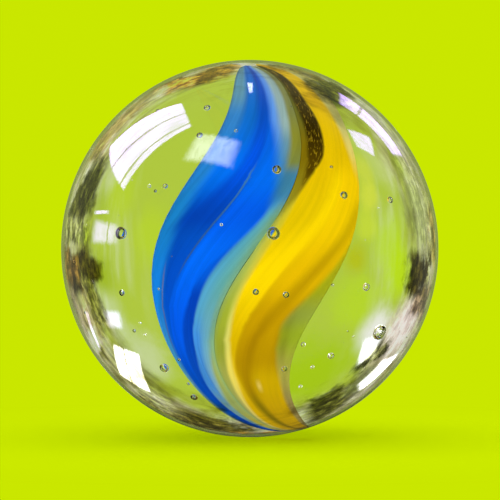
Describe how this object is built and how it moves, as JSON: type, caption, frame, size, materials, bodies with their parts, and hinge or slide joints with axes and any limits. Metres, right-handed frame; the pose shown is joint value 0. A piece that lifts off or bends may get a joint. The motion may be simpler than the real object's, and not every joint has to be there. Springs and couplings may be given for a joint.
{
  "type": "glass marble",
  "caption": "Solid clear glass ball with a blue and a yellow coloured vane twisted from pole to pole inside it, and fine seed bubbles.",
  "frame": {"origin": "centre of the ball", "axes": "+Z along the axis that the coloured vanes twist round, from the lower tips to the upper tips; -Y is the front, where both vanes show their faces"},
  "size_m": [0.016, 0.016, 0.016],
  "materials": {
    "clear_glass": "polished, water clear",
    "blue_glass": "opaque streaked cobalt blue glass, sealed inside the clear glass",
    "yellow_glass": "opaque streaked yellow glass, sealed inside the clear glass"
  },
  "bodies": {
    "root": {"clear_glass": "clear_glass", "blue_vane": "blue_glass", "yellow_vane": "yellow_glass"}
  },
  "joints": []
}
